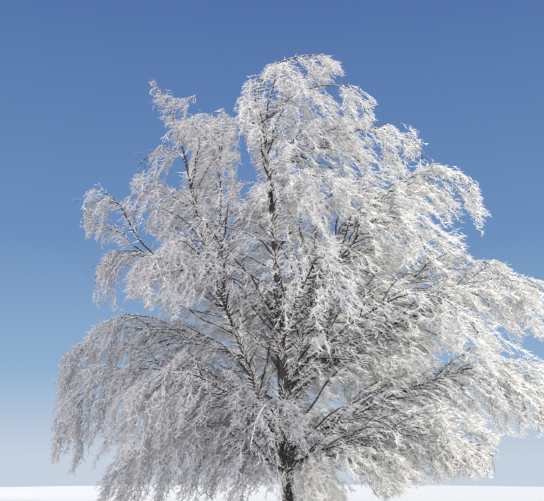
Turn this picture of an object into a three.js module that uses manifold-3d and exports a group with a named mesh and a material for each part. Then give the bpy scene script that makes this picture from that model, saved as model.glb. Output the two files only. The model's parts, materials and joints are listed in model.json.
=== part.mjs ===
// A bare birch in winter, thick with hoar frost: a trunk that forks low into upright stems, arching boughs,
// and at the tip of each of them a spray of frosted, hanging twigs.
// Millimetres and degrees. +Z is up, and the origin is the middle of the flat cut at ground level.
// An azimuth of 0 points along +X (right), 90 along +Y (back), 180 to the left and 270 to the front.
import * as THREE from "three";
import { mergeVertices } from "three/addons/utils/BufferGeometryUtils.js";
import Module from "manifold-3d";

const wasm = await Module();
wasm.setup();

const DEGREE = Math.PI / 180;
const GAP = 0.3;

// The trunk and its root flare
const TRUNK_SIDES = 15;
const TRUNK_STEPS = 12;
const TRUNK_WANDER = 0.05;
const FOOT_RINGS = 5;
const FOOT_CROWDING = 1.3;
const FLARE_SHARE = 0.5;
const FLARE_HEIGHT = 330;
const ROOTS = 5;
const ROOT_DEPTH = 0.3;
const BURIED = 200;
const GROUND_SIZE = 4000;

// Stems and boughs
const BOUGH_SIDES = 6;
const BOUGH_STEPS = 5;
const BOUGH_WANDER = 0.16;
const LIMB_BEND = 2;
const LIMB_TIP_RADIUS = 21;
const LIMB_TIP_SHARE = 0.12;
const LIMB_TAPER = 1.6;

// Twigs, with the frost on them
const TWIG_SIDES = 3;
const SPRAY_STEPS = 5;
const SPRAY_TIP_RADIUS = 14;
const TWIG_WANDER = 0.22;
const TWIG_BEND = 1;
const TWIG_TIP_SHARE = 0.55;
const JOIN_SHARE = 0.45;
const VARIATION = 0.2;
const STEEPEST = 88;
const FLATTENING = 0.5;

// Side twigs spiral up a spray's stem
const SIDE_TWIGS = 6;
const SIDE_STEPS = 3;
const SIDE_FIRST = 0.1;
const SIDE_LAST = 0.94;
const SIDE_LONGEST = 0.58;
const SIDE_SHORTEST = 0.3;
const SIDE_SPREAD = 52;
const SIDE_DROOP = 75;
const SPIRAL = 137.5;
const SPIRAL_STRAY = 40;

// Hanging twigs come off the side twigs
const HANGING_TWIGS = 1;
const HANGING_STEPS = 2;
const HANGING_FIRST = 0.6;
const HANGING_LENGTH = 0.62;
const HANGING_SPREAD = 38;
const HANGING_DROOP = 70;
const HANGING_STRAY = 60;

// The room that twigs keep to
const SHARES_TRIED = [1, 0.7, 0.45];
const CELL_MARGIN = 46;
const LIMB_CLEARANCE = 22;
const LOWEST_TWIG = 150;

// Each limb leaves its parent at a share of the parent's length, points along its azimuth and rise, sinks by
// droop and swings round by turn on its way, and carries at its tip a spray of twigs that sinks by hang.
const LIMBS = [
  { name: "trunk", azimuth: 0, rise: 92.4, droop: -4.6,
    length: 12300, radius: 235, spray: 3600, hang: 135 },
  { name: "left_stem", parent: "trunk", at: 0.12, azimuth: 183, rise: 70, droop: -12,
    length: 9500, radius: 118, spray: 2500, hang: 27 },
  { name: "right_stem", parent: "trunk", at: 0.2, azimuth: 10, rise: 79, droop: -7,
    length: 5600, radius: 108, spray: 3300, hang: 105 },
  { name: "left_inner_bough", parent: "left_stem", at: 0.49, azimuth: 112, turn: -10, rise: 80, droop: 0,
    length: 5800, radius: 58, spray: 2600, hang: 120 },
  { name: "left_far_bough", parent: "left_stem", at: 0.575, azimuth: 186, rise: 20, droop: -52,
    length: 3400, radius: 58, spray: 1800, hang: 150 },
  { name: "left_far_low_bough", parent: "left_far_bough", at: 0.5, azimuth: 172, rise: 24, droop: 10,
    length: 1000, radius: 34, spray: 1700, hang: 110 },
  { name: "left_mid_bough", parent: "left_stem", at: 0.337, azimuth: 176, rise: 22, droop: 16,
    length: 3100, radius: 55, spray: 2900, hang: 75 },
  { name: "left_low_bough", parent: "left_stem", at: 0.185, azimuth: 188, rise: 20, droop: 10,
    length: 3100, radius: 60, spray: 3000, hang: 75 },
  { name: "left_lowest_bough", parent: "trunk", at: 0.1, azimuth: 212, rise: 26, droop: 18,
    length: 2700, radius: 52, spray: 2700, hang: 60 },
  { name: "right_lowest_bough", parent: "trunk", at: 0.12, azimuth: 346, rise: 20, droop: 12,
    length: 3300, radius: 56, spray: 2600, hang: 50 },
  { name: "right_low_bough", parent: "trunk", at: 0.165, azimuth: 6, rise: 24, droop: 8,
    length: 5600, radius: 78, spray: 3300, hang: 70 },
  { name: "right_mid_bough", parent: "right_stem", at: 0.16, azimuth: 354, rise: 32, droop: 10,
    length: 6000, radius: 74, spray: 3200, hang: 80 },
  { name: "right_upper_bough", parent: "right_stem", at: 0.48, azimuth: 5, rise: 26, droop: -6,
    length: 4600, radius: 60, spray: 3000, hang: 100 },
  { name: "right_high_bough", parent: "right_stem", at: 0.86, azimuth: 346, rise: 43, droop: 8,
    length: 3700, radius: 50, spray: 2500, hang: 100 },
  { name: "right_top_bough", parent: "trunk", at: 0.82, azimuth: 14, rise: 32, droop: 4,
    length: 3300, radius: 46, spray: 2600, hang: 95 },
  { name: "front_low_bough", parent: "trunk", at: 0.16, azimuth: 262, rise: 18, droop: 8,
    length: 3000, radius: 58, spray: 2800, hang: 65 },
  { name: "front_right_bough", parent: "right_stem", at: 0.27, azimuth: 312, rise: 28, droop: 12,
    length: 4100, radius: 64, spray: 3000, hang: 80 },
  { name: "front_left_bough", parent: "left_stem", at: 0.1, azimuth: 230, rise: 26, droop: 10,
    length: 3400, radius: 58, spray: 2900, hang: 80 },
  { name: "front_mid_bough", parent: "trunk", at: 0.38, azimuth: 284, rise: 38, droop: 14,
    length: 3300, radius: 58, spray: 2800, hang: 95 },
  { name: "front_left_high_bough", parent: "left_stem", at: 0.44, azimuth: 244, rise: 42, droop: 14,
    length: 2700, radius: 50, spray: 2600, hang: 100 },
  { name: "front_right_high_bough", parent: "right_stem", at: 0.62, azimuth: 312, rise: 44, droop: 14,
    length: 3000, radius: 48, spray: 2700, hang: 105 },
  { name: "back_low_bough", parent: "trunk", at: 0.18, azimuth: 96, rise: 18, droop: 8,
    length: 3300, radius: 60, spray: 2900, hang: 65 },
  { name: "back_right_bough", parent: "right_stem", at: 0.22, azimuth: 50, rise: 30, droop: 12,
    length: 4200, radius: 64, spray: 3000, hang: 80 },
  { name: "back_left_bough", parent: "left_stem", at: 0.135, azimuth: 130, rise: 26, droop: 10,
    length: 3500, radius: 58, spray: 2900, hang: 80 },
  { name: "back_mid_bough", parent: "trunk", at: 0.42, azimuth: 96, rise: 38, droop: 14,
    length: 3300, radius: 58, spray: 2800, hang: 95 },
  { name: "back_left_high_bough", parent: "left_stem", at: 0.395, azimuth: 82, rise: 58, droop: 14,
    length: 2700, radius: 50, spray: 2600, hang: 100 },
  { name: "back_right_high_bough", parent: "right_stem", at: 0.7, azimuth: 58, rise: 44, droop: 14,
    length: 3000, radius: 48, spray: 2700, hang: 105 },
];

// Sprays that grow straight from a stem, with no bough of their own
const SHOOTS = [
  { name: "crown_right_twigs", parent: "trunk", at: 0.95, azimuth: 338, rise: 52,
    radius: 28, spray: 3800, hang: 105 },
  { name: "crown_front_twigs", parent: "trunk", at: 0.72, azimuth: 300, rise: 56,
    radius: 28, spray: 3400, hang: 115 },
  { name: "crown_back_twigs", parent: "trunk", at: 0.77, azimuth: 84, rise: 56,
    radius: 28, spray: 3300, hang: 115 },
  { name: "left_high_twigs", parent: "left_stem", at: 0.78, azimuth: 206, rise: 64,
    radius: 26, spray: 2500, hang: 105 },
  { name: "left_top_twigs", parent: "left_stem", at: 0.95, azimuth: 182, rise: 78,
    radius: 26, spray: 2000, hang: 150 },
  { name: "foot_twigs", parent: "trunk", at: 0.085, azimuth: 300, rise: 42,
    radius: 24, spray: 1500, hang: 90 },
];

// A stream of numbers from 0 to 1 that depends on nothing but its seed
function randomStream(seed) {
  let state = (seed * 2654435761 + 12345) >>> 0;
  return () => {
    state = (Math.imul(state, 1664525) + 1013904223) >>> 0;
    return state / 4294967296;
  };
}

function varied(value, random) {
  return value * (1 - VARIATION + 2 * VARIATION * random());
}

function heading(azimuth, elevation) {
  const flat = Math.cos(elevation * DEGREE);
  return new THREE.Vector3(
    flat * Math.cos(azimuth * DEGREE),
    flat * Math.sin(azimuth * DEGREE),
    Math.sin(elevation * DEGREE),
  );
}

// The points of a limb or twig that leaves start and bends, turns and wanders on its way
function growPath({ start, azimuth, rise, droop, turn = 0, length }, steps, bend, wander, random) {
  const points = [start.clone()];
  for (let i = 0; i < steps; i++) {
    const t = (i + 0.5) / steps;
    const way = heading(azimuth + turn * t, rise - droop * t ** bend);
    const stray = new THREE.Vector3(random() - 0.5, random() - 0.5, random() - 0.5);
    way.addScaledVector(stray, wander).normalize();
    points.push(points[i].clone().addScaledVector(way, length / steps));
  }
  return points;
}

// The point at a share of a path's length, and the way it heads there
function placeOn(points, share) {
  const steps = points.length - 1;
  const i = Math.min(Math.floor(share * steps), steps - 1);
  const way = points[i + 1].clone().sub(points[i]);
  const point = points[i].clone().addScaledVector(way, share * steps - i);
  return { point, way: way.normalize() };
}

// A direction at an angle of spread to a way, at an angle of around about it, flattened towards the level
function turnedAside(way, spread, around) {
  const isUpright = Math.hypot(way.x, way.y) < 0.05;
  const level = isUpright ? new THREE.Vector3(1, 0, 0) : new THREE.Vector3(-way.y, way.x, 0).normalize();
  const above = new THREE.Vector3().crossVectors(way, level);
  const aside = level
    .multiplyScalar(Math.cos(around * DEGREE))
    .addScaledVector(above, Math.sin(around * DEGREE) * FLATTENING)
    .normalize();
  const along = way.clone().multiplyScalar(Math.cos(spread * DEGREE));
  return along.addScaledVector(aside, Math.sin(spread * DEGREE)).normalize();
}

// The radius at a share of the length: of a limb, of a spray's stem, and of a twig
function limbRadius(limb, share) {
  const tip = LIMB_TIP_RADIUS + LIMB_TIP_SHARE * limb.radius;
  return tip + (limb.radius - tip) * (1 - share) ** LIMB_TAPER;
}

function stemRadius(spray, share) {
  return spray.radius + (SPRAY_TIP_RADIUS - spray.radius) * share;
}

function twigRadius(radius, share) {
  return radius * (1 - (1 - TWIG_TIP_SHARE) * share);
}

// Every limb's path, each from its parent's, and the radius and place where its spray begins
const limbs = [];
const sprays = [];

function limbNamed(name) {
  return limbs.find((limb) => limb.name === name);
}

function growLimb(plan, seed) {
  const random = randomStream(seed);
  const start = plan.parent ? placeOn(limbNamed(plan.parent).path, plan.at).point : new THREE.Vector3();
  const steps = plan.parent ? BOUGH_STEPS : TRUNK_STEPS;
  const wander = plan.parent ? BOUGH_WANDER : TRUNK_WANDER;
  const path = growPath({ ...plan, start }, steps, LIMB_BEND, wander, random);
  const tip = placeOn(path, 1);
  const sprayGrowth = {
    start: tip.point.addScaledVector(tip.way, GAP),
    azimuth: plan.azimuth + (plan.turn ?? 0),
    rise: plan.rise - plan.droop,
    droop: plan.hang,
    length: plan.spray,
  };
  limbs.push({ ...plan, path });
  sprays.push({
    name: plan.name.replace("_bough", "") + "_twigs",
    length: plan.spray,
    radius: limbRadius(plan, 1),
    firstWay: tip.way,
    path: growPath(sprayGrowth, SPRAY_STEPS, TWIG_BEND, TWIG_WANDER, random),
  });
}

function growShoot(plan, seed) {
  const start = placeOn(limbNamed(plan.parent).path, plan.at).point;
  const growth = { ...plan, start, droop: plan.hang, length: plan.spray };
  const path = growPath(growth, SPRAY_STEPS, TWIG_BEND, TWIG_WANDER, randomStream(seed));
  sprays.push({ ...plan, length: plan.spray, firstWay: placeOn(path, 0).way, path });
}

LIMBS.forEach((plan, i) => growLimb(plan, i + 1));
SHOOTS.forEach((plan, i) => growShoot(plan, LIMBS.length + i + 1));

// The distance from a point to the nearest stretch of a path
const stretch = new THREE.Line3();
const nearest = new THREE.Vector3();
function distanceTo(path, point) {
  let least = Infinity;
  for (let i = 1; i < path.length; i++) {
    stretch.set(path[i - 1], path[i]).closestPointToPoint(point, true, nearest);
    least = Math.min(least, nearest.distanceTo(point));
  }
  return least;
}

function isClearOf(limb, point) {
  const steps = limb.path.length - 1;
  return limb.path.slice(1).every((end, i) => {
    const room = limbRadius(limb, i / steps) + LIMB_CLEARANCE;
    return distanceTo([limb.path[i], end], point) >= room;
  });
}

// Whether a point of a twig keeps to its spray's own space and clear of every limb
function isFree(point, spray) {
  if (point.z < LOWEST_TWIG) return false;
  const own = distanceTo(spray.path, point) + CELL_MARGIN;
  const isOwn = sprays.every((other) => other === spray || distanceTo(other.path, point) >= own);
  return isOwn && limbs.every((limb) => isClearOf(limb, point));
}

// A twig off a parent's path. It is grown shorter where it would leave its spray's space, or not at all.
function growTwig(parentPath, share, plan, spray, random) {
  const { point, way } = placeOn(parentPath, share);
  const turned = turnedAside(way, plan.spread, plan.around);
  const rise = Math.asin(turned.z) / DEGREE;
  const growth = {
    start: point,
    azimuth: Math.atan2(turned.y, turned.x) / DEGREE,
    rise,
    droop: Math.min(plan.droop, rise + STEEPEST),
    length: plan.length,
  };
  const path = growPath(growth, plan.steps, TWIG_BEND, TWIG_WANDER, random);
  for (const part of SHARES_TRIED) {
    const shorter = path.map((p) => point.clone().lerp(p, part));
    const ends = shorter.slice(1);
    const middles = ends.map((end, i) => end.clone().lerp(shorter[i], 0.5));
    if ([...middles, ...ends].every((p) => isFree(p, spray))) return shorter;
  }
  return null;
}

// The twigs of a spray: side twigs spiral up its stem, and each carries some that hang
function growTwigs(spray, random) {
  const twigs = [];
  for (let i = 0; i < SIDE_TWIGS; i++) {
    const share = SIDE_FIRST + ((SIDE_LAST - SIDE_FIRST) * i) / (SIDE_TWIGS - 1);
    const part = SIDE_LONGEST + (SIDE_SHORTEST - SIDE_LONGEST) * share;
    const length = varied(spray.length * part, random);
    const around = i * SPIRAL + SPIRAL_STRAY * random();
    const droop = varied(SIDE_DROOP, random);
    const sidePlan = { spread: SIDE_SPREAD, around, length, droop, steps: SIDE_STEPS };
    const side = growTwig(spray.path, share, sidePlan, spray, random);
    if (!side) continue;
    const radius = JOIN_SHARE * stemRadius(spray, share);
    twigs.push({ path: side, radius });
    for (let j = 0; j < HANGING_TWIGS; j++) {
      const spot = (j + HANGING_FIRST) / HANGING_TWIGS;
      const hangingPlan = {
        spread: HANGING_SPREAD,
        around: 180 * j + HANGING_STRAY * random(),
        length: varied(length * HANGING_LENGTH, random),
        droop: HANGING_DROOP,
        steps: HANGING_STEPS,
      };
      const hanging = growTwig(side, spot, hangingPlan, spray, random);
      if (hanging) twigs.push({ path: hanging, radius: JOIN_SHARE * twigRadius(radius, spot) });
    }
  }
  return twigs;
}

// The way a path heads at each of its points, and one way for a whole twig, which keeps its faces flat
function waysAlong(points) {
  const last = points.length - 1;
  return points.map((p, i) => {
    const from = points[Math.max(i - 1, 0)];
    const to = points[Math.min(i + 1, last)];
    return to.clone().sub(from).normalize();
  });
}

function oneWayAlong(points) {
  const way = points.at(-1).clone().sub(points[0]).normalize();
  return points.map(() => way);
}

function solidOf(geometry) {
  geometry.deleteAttribute("normal");
  geometry.deleteAttribute("uv");
  const merged = mergeVertices(geometry);
  const vertProperties = merged.attributes.position.array;
  const triVerts = new Uint32Array(merged.index.array);
  return new wasm.Manifold(new wasm.Mesh({ numProp: 3, vertProperties, triVerts }));
}

// A closed tube along a path: a cylinder whose rings are moved onto the path's points, each square to its way
// and turned as little as possible from the one before
function tubeSolid(points, ways, radiusAt, sides) {
  const rings = points.length - 1;
  const geometry = new THREE.CylinderGeometry(1, 1, 1, sides, rings);
  let side = new THREE.Vector3(0.31, 0.95, 0.05);
  const frames = ways.map((way) => {
    side = side.clone().addScaledVector(way, -side.dot(way)).normalize();
    return { side, across: new THREE.Vector3().crossVectors(side, way) };
  });
  const position = geometry.attributes.position;
  const corner = new THREE.Vector3();
  for (let i = 0; i < position.count; i++) {
    corner.fromBufferAttribute(position, i);
    const ring = Math.round((corner.y + 0.5) * rings);
    const radius = radiusAt(ring, Math.atan2(corner.z, corner.x));
    const place = points[ring]
      .clone()
      .addScaledVector(frames[ring].side, corner.x * radius)
      .addScaledVector(frames[ring].across, corner.z * radius);
    position.setXYZ(i, place.x, place.y, place.z);
  }
  return solidOf(geometry);
}

// The trunk's path with closer rings at its foot, and a stretch below the ground that is cut away
function trunkRings(trunk) {
  const first = trunk.path[1];
  const foot = [];
  for (let i = 0; i < FOOT_RINGS; i++) {
    foot.push(first.clone().multiplyScalar((i / FOOT_RINGS) ** FOOT_CROWDING));
  }
  return [first.clone().setLength(-BURIED), ...foot, ...trunk.path.slice(1)];
}

// The trunk swells towards the ground into the tops of its roots
function flare(height, angle) {
  const ridge = 1 - ROOT_DEPTH + ROOT_DEPTH * Math.cos(ROOTS * angle);
  return 1 + FLARE_SHARE * ridge * Math.exp(-Math.max(height, 0) / FLARE_HEIGHT);
}

function trunkSolid(trunk, extra = 0) {
  const rings = trunkRings(trunk);
  const radiusAt = (ring, angle) => {
    const height = rings[ring].z;
    const share = THREE.MathUtils.clamp(height / trunk.length, 0, 1);
    return limbRadius(trunk, share) * flare(height, angle) + extra;
  };
  const ground = new THREE.BoxGeometry(GROUND_SIZE, GROUND_SIZE, GROUND_SIZE);
  ground.translate(0, 0, -GROUND_SIZE / 2);
  return tubeSolid(rings, waysAlong(rings), radiusAt, TRUNK_SIDES).subtract(solidOf(ground));
}

// A limb's solid. With extra it is that much thicker, to cut what stands on the limb clear of it.
function limbSolid(limb, extra = 0) {
  if (!limb.parent) return trunkSolid(limb, extra);
  const steps = limb.path.length - 1;
  const radiusAt = (ring) => limbRadius(limb, ring / steps) + extra;
  return tubeSolid(limb.path, waysAlong(limb.path), radiusAt, BOUGH_SIDES);
}

// One solid from a spray's stem and its twigs
function spraySolid(spray) {
  const ways = [spray.firstWay, ...waysAlong(spray.path).slice(1)];
  const stem = tubeSolid(spray.path, ways, (ring) => stemRadius(spray, ring / SPRAY_STEPS), TWIG_SIDES);
  return spray.twigs.reduce((whole, { path, radius }) => {
    const radiusAt = (ring) => twigRadius(radius, ring / (path.length - 1));
    return whole.add(tubeSolid(path, oneWayAlong(path), radiusAt, TWIG_SIDES));
  }, stem);
}

// The largest body of a solid: a sealed hollow in it is filled, and a loose scrap is dropped
function largestOf(solid) {
  const bodies = solid.decompose();
  return bodies.reduce((most, body) => (body.volume() > most.volume() ? body : most));
}

function meshOf(name, solid, material) {
  const { vertProperties, triVerts } = solid.getMesh();
  const geometry = new THREE.BufferGeometry();
  geometry.setAttribute("position", new THREE.BufferAttribute(new Float32Array(vertProperties), 3));
  geometry.setIndex(new THREE.BufferAttribute(triVerts, 1));
  geometry.computeVertexNormals();
  const mesh = new THREE.Mesh(geometry, material);
  mesh.name = name;
  return mesh;
}

// A limb or spray is cut clear of the limb that it leaves sideways
const outsides = new Map(limbs.map((limb) => [limb.name, limbSolid(limb, GAP)]));
function cutClear(solid, parent) {
  return largestOf(parent ? solid.subtract(outsides.get(parent)) : solid);
}

const bark = new THREE.MeshStandardMaterial({ name: "bark", color: 0x3a2f2c, roughness: 0.9, metalness: 0 });
const frost = new THREE.MeshStandardMaterial({ name: "frost", color: 0xe4e8ee, roughness: 0.8, metalness: 0 });

const TWIG_SEED = 1000;
sprays.forEach((spray, i) => {
  spray.twigs = growTwigs(spray, randomStream(TWIG_SEED + i));
});

const tree = new THREE.Group();
for (const limb of limbs) tree.add(meshOf(limb.name, cutClear(limbSolid(limb), limb.parent), bark));
for (const spray of sprays) tree.add(meshOf(spray.name, cutClear(spraySolid(spray), spray.parent), frost));

export default tree;
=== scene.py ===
"""A bare birch in winter, thick with hoar frost: bark with its relief on the trunk, stems and boughs, and a
crown of frosted twigs that grows on from them by the rule of the part's source, carried to finer twigs.

Metres and degrees. An azimuth of 0 points along +X (right), 90 along +Y (back) and 270 to the front.
"""
import json
import math
from collections import namedtuple
from itertools import product

import bpy
import numpy as np
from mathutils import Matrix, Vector

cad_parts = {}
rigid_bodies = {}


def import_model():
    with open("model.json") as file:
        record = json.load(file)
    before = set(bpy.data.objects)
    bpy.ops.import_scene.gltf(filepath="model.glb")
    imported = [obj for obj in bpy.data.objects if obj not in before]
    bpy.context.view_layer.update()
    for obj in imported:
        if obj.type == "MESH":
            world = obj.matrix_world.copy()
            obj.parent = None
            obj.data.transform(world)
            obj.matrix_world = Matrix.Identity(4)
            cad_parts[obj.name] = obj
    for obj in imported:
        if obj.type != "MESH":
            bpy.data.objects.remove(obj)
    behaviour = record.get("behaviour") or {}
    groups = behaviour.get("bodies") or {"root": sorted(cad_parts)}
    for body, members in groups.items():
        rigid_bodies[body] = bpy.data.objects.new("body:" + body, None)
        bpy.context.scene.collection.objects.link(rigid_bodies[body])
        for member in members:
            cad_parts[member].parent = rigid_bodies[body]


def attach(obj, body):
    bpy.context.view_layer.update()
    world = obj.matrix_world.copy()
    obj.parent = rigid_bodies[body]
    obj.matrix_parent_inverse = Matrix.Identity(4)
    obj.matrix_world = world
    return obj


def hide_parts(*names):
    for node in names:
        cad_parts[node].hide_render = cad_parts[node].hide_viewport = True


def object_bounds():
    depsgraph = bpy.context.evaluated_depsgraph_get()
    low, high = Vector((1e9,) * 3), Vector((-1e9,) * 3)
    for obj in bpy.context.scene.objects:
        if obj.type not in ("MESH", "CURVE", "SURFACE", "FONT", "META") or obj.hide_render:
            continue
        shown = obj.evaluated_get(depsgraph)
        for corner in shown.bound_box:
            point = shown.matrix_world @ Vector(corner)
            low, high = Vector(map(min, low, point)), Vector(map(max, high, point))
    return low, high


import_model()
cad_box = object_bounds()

GAP = 0.0003
SEED = 2026
NOISE_SEEDS = {"furrows": 1, "plates": 2, "frost": 3, "across": 11, "up": 12, "patches": 13, "clumps": 14}

# The trunk's foot
TRUNK_STEPS = 12
TRUNK_WANDER = 0.05
FLARE_SHARE = 0.5
FLARE_HEIGHT = 0.33
ROOTS = 5
ROOT_DEPTH = 0.3

# Stems and boughs
BOUGH_STEPS = 5
BOUGH_WANDER = 0.16
LIMB_BEND = 2
LIMB_TIP_RADIUS = 0.021
LIMB_TIP_SHARE = 0.12
LIMB_TAPER = 1.6

# The stem and the side twigs of each spray, and the first of the twigs that hang
SPRAY_STEPS = 5
SPRAY_TIP_RADIUS = 0.014
TWIG_WANDER = 0.22
TWIG_BEND = 1
TWIG_TIP_SHARE = 0.55
JOIN_SHARE = 0.45
VARIATION = 0.2
STEEPEST = 88
UPRIGHT = 0.05
FLATTENING = 0.5
SIDE_TWIGS = 6
SIDE_STEPS = 3
SIDE_FIRST = 0.1
SIDE_LAST = 0.94
SIDE_LONGEST = 0.58
SIDE_SHORTEST = 0.3
SIDE_SPREAD = 52
SIDE_DROOP = 75
SPIRAL = 137.5
SPIRAL_STRAY = 40
HANGING_STEPS = 2
HANGING_FIRST = 0.6
HANGING_LENGTH = 0.62
HANGING_SPREAD = 38
HANGING_DROOP = 70
HANGING_STRAY = 60
TWIG_SEED = 1000

# The room that twigs keep to, and the shares of their length that are tried to fit them in
SHARES_TRIED = (1, 0.7, 0.45)
CELL_MARGIN = 0.046
LIMB_CLEARANCE = 0.022
LOWEST_TWIG = 0.15
BOX_ROOM = 0.12
POINTS_AT_ONCE = 4000

# Each limb leaves its parent at a share of the parent's length, swings round by turn and sinks by droop on
# its way, and carries a spray that sinks by hang.
Limb = namedtuple("Limb", "name parent at azimuth turn rise droop length radius spray hang")
LIMBS = [
    Limb("trunk", None, 0, 0, 0, 92.4, -4.6, 12.3, 0.235, 3.6, 135),
    Limb("left_stem", "trunk", 0.12, 183, 0, 70, -12, 9.5, 0.118, 2.5, 27),
    Limb("right_stem", "trunk", 0.2, 10, 0, 79, -7, 5.6, 0.108, 3.3, 105),
    Limb("left_inner_bough", "left_stem", 0.49, 112, -10, 80, 0, 5.8, 0.058, 2.6, 120),
    Limb("left_far_bough", "left_stem", 0.575, 186, 0, 20, -52, 3.4, 0.058, 1.8, 150),
    Limb("left_far_low_bough", "left_far_bough", 0.5, 172, 0, 24, 10, 1.0, 0.034, 1.7, 110),
    Limb("left_mid_bough", "left_stem", 0.337, 176, 0, 22, 16, 3.1, 0.055, 2.9, 75),
    Limb("left_low_bough", "left_stem", 0.185, 188, 0, 20, 10, 3.1, 0.060, 3.0, 75),
    Limb("left_lowest_bough", "trunk", 0.1, 212, 0, 26, 18, 2.7, 0.052, 2.7, 60),
    Limb("right_lowest_bough", "trunk", 0.12, 346, 0, 20, 12, 3.3, 0.056, 2.6, 50),
    Limb("right_low_bough", "trunk", 0.165, 6, 0, 24, 8, 5.6, 0.078, 3.3, 70),
    Limb("right_mid_bough", "right_stem", 0.16, 354, 0, 32, 10, 6.0, 0.074, 3.2, 80),
    Limb("right_upper_bough", "right_stem", 0.48, 5, 0, 26, -6, 4.6, 0.060, 3.0, 100),
    Limb("right_high_bough", "right_stem", 0.86, 346, 0, 43, 8, 3.7, 0.050, 2.5, 100),
    Limb("right_top_bough", "trunk", 0.82, 14, 0, 32, 4, 3.3, 0.046, 2.6, 95),
    Limb("front_low_bough", "trunk", 0.16, 262, 0, 18, 8, 3.0, 0.058, 2.8, 65),
    Limb("front_right_bough", "right_stem", 0.27, 312, 0, 28, 12, 4.1, 0.064, 3.0, 80),
    Limb("front_left_bough", "left_stem", 0.1, 230, 0, 26, 10, 3.4, 0.058, 2.9, 80),
    Limb("front_mid_bough", "trunk", 0.38, 284, 0, 38, 14, 3.3, 0.058, 2.8, 95),
    Limb("front_left_high_bough", "left_stem", 0.44, 244, 0, 42, 14, 2.7, 0.050, 2.6, 100),
    Limb("front_right_high_bough", "right_stem", 0.62, 312, 0, 44, 14, 3.0, 0.048, 2.7, 105),
    Limb("back_low_bough", "trunk", 0.18, 96, 0, 18, 8, 3.3, 0.060, 2.9, 65),
    Limb("back_right_bough", "right_stem", 0.22, 50, 0, 30, 12, 4.2, 0.064, 3.0, 80),
    Limb("back_left_bough", "left_stem", 0.135, 130, 0, 26, 10, 3.5, 0.058, 2.9, 80),
    Limb("back_mid_bough", "trunk", 0.42, 96, 0, 38, 14, 3.3, 0.058, 2.8, 95),
    Limb("back_left_high_bough", "left_stem", 0.395, 82, 0, 58, 14, 2.7, 0.050, 2.6, 100),
    Limb("back_right_high_bough", "right_stem", 0.7, 58, 0, 44, 14, 3.0, 0.048, 2.7, 105),
]

# Sprays that grow straight from a stem, with no bough of their own
Shoot = namedtuple("Shoot", "name parent at azimuth rise radius spray hang")
SHOOTS = [
    Shoot("crown_right_twigs", "trunk", 0.95, 338, 52, 0.028, 3.8, 105),
    Shoot("crown_front_twigs", "trunk", 0.72, 300, 56, 0.028, 3.4, 115),
    Shoot("crown_back_twigs", "trunk", 0.77, 84, 56, 0.028, 3.3, 115),
    Shoot("left_high_twigs", "left_stem", 0.78, 206, 64, 0.026, 2.5, 105),
    Shoot("left_top_twigs", "left_stem", 0.95, 182, 78, 0.026, 2.0, 150),
    Shoot("foot_twigs", "trunk", 0.085, 300, 42, 0.024, 1.5, 90),
]

# Branches along the limbs. They are shorter where they leave the trunk low, and left out before the trunk and
# the stems, where the photo shows bark.
LATERAL_SPACING = {"trunk": 0.12, "stem": 0.1, "bough": 0.14}
LATERAL_LENGTH = {"trunk": 3.6, "stem": 2.9, "bough": 2.3}
LATERAL_SPREAD = {"trunk": 48, "stem": 37, "bough": 31}
LATERAL_DROOP = {"trunk": 45, "stem": 50, "bough": 70}
LATERAL_FIRST = 0.12
TRUNK_LATERAL_FIRST = 0.065
LATERAL_LAST = 0.97
LATERAL_ROOT = 0.8
LATERAL_MOST = 1.1
LATERAL_LOSS = 0.45
LATERAL_SLENDER = 0.012
LATERAL_STEPS = 5
SHORT_FROM = -0.9
SHORT_OVER = 2.4
FULLEST_LATERALS = 1.4
OPEN_FRONT = 45
OPEN_TO_HEIGHT = 8.5

# More side twigs on the sprays' stems
FINE_SIDE_TWIGS = 13
FINE_SIDE_LAST = 0.98
FINE_WANDER = 0.5

# What grows on those in turn. A kind has a spacing and a first share for each kind of host. Its length, by
# the host's if so marked, is the most at the host's root, with a loss by its tip. A kind with no droop of its
# own comes to hang. Of the twigs that would hide bark, the share shown is left out.
Growth = namedtuple("Growth", "hosts last length by_host most loss spread droop bend radius steps shown")
GROWTHS = {
    "small": Growth({"sides": (0.21, 0.12), "laterals": (0.21, 0.16)}, last=0.95, length=0.5, by_host=True,
                    most=1.1, loss=0.5, spread=28, droop=38, bend=1, radius=0.011, steps=1, shown=0.7),
    "weepers": Growth({"sides": (0.6, 0.4), "laterals": (0.6, 0.4)}, last=1, length=0.95, by_host=False,
                      most=1.2, loss=0.4, spread=50, droop=0, bend=0.6, radius=0.009, steps=3, shown=0.9),
    "hanging_twigs": Growth({"stems": (0.05, 0.06), "sides": (0.045, 0.06), "laterals": (0.042, 0.16),
                             "small": (0.06, 0.06), "weepers": (0.055, 0.1)},
                            last=1, length=0.3, by_host=False, most=1.15, loss=0.5, spread=44, droop=0,
                            bend=1, radius=0.015, steps=1, shown=0.7),
}
LONGEST_HOST = 1.4
HANG_SHARE = 1.12

# So many twiglets and spurs on each host, the finest growth
TWIGLETS = {
    "twiglets": {"hanging_twigs": 2, "source_twigs": 5},
    "spurs": {"sides": 5, "laterals": 12, "small": 1, "weepers": 4, "stems": 45},
}
TWIGLET_FIRST = 0.1
TWIGLET_LENGTH = 0.18
TWIGLET_SHORTEST = 0.55
TWIGLET_RANGE = 0.9
TWIGLET_MOST = 1.15
TWIGLET_LOSS = 0.45
TWIGLET_SPREAD = 50
TWIGLET_STRAY = 80
TWIGLET_RADIUS = 0.0155
TWIGLET_SHOWN = 0.5

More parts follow.
